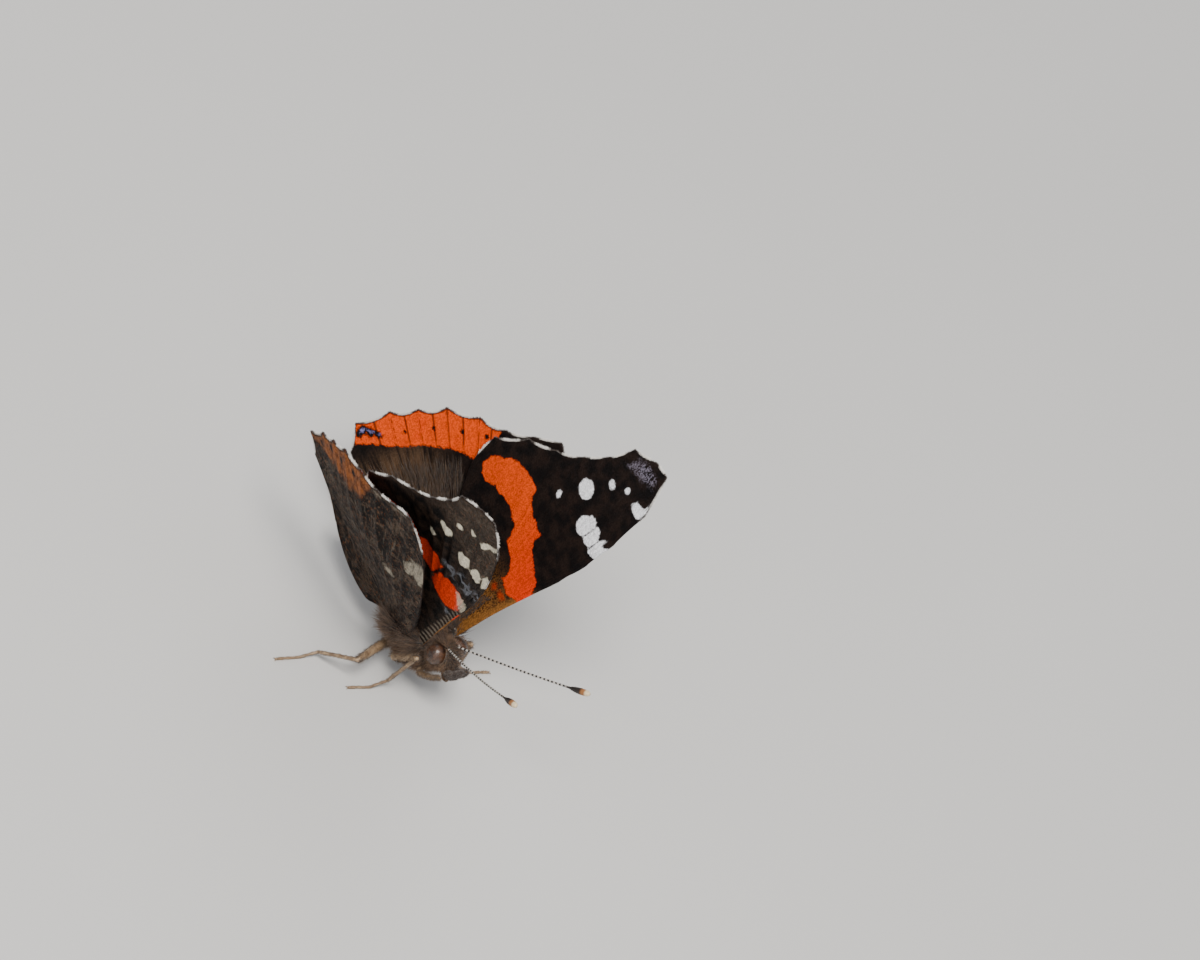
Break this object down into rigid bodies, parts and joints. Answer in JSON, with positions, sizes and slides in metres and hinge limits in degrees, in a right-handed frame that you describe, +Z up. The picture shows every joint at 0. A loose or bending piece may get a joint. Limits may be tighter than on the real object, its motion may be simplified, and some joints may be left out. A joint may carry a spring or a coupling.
{
  "type": "red admiral butterfly model",
  "caption": "Red admiral butterfly standing on its feet with the wings raised in a narrow V, clubbed feelers forward, as a still life-size model.",
  "frame": {"origin": "middle of the box round the part, at the level of the soles of the feet", "axes": "+Z up, the head looks along -Y, the left side is toward +X"},
  "size_m": [0.0232, 0.037, 0.0352],
  "materials": {
    "body_hair": "fine brown and grey hairs over a dark skin, dull",
    "eyes": "brown facets with a soft gloss and short hairs",
    "palps": "grey-brown hair, dull",
    "antennae": "black with narrow pale rings and a cream club tip",
    "proboscis": "dark brown horn, slightly glossy",
    "legs": "brown scales, dull, paler on the feet",
    "forewings": "velvety scales: black-brown with an orange-red band and white spots above, mottled below",
    "hindwings": "velvety scales: dark brown with an orange border above, cryptic brown mottling below"
  },
  "bodies": {
    "root": {"thorax": "body_hair", "head": "body_hair", "abdomen": "body_hair", "proboscis": "proboscis", "eye_left": "eyes", "palp_left": "palps", "antenna_left": "antennae", "foreleg_left": "legs", "forewing_left": "forewings", "hindwing_left": "hindwings", "midleg_left_femur": "legs", "midleg_left_tibia": "legs", "midleg_left_tarsus": "legs", "hindleg_left_femur": "legs", "hindleg_left_tibia": "legs", "hindleg_left_tarsus": "legs", "eye_right": "eyes", "palp_right": "palps", "antenna_right": "antennae", "foreleg_right": "legs", "forewing_right": "forewings", "hindwing_right": "hindwings", "midleg_right_femur": "legs", "midleg_right_tibia": "legs", "midleg_right_tarsus": "legs", "hindleg_right_femur": "legs", "hindleg_right_tibia": "legs", "hindleg_right_tarsus": "legs"}
  },
  "joints": []
}
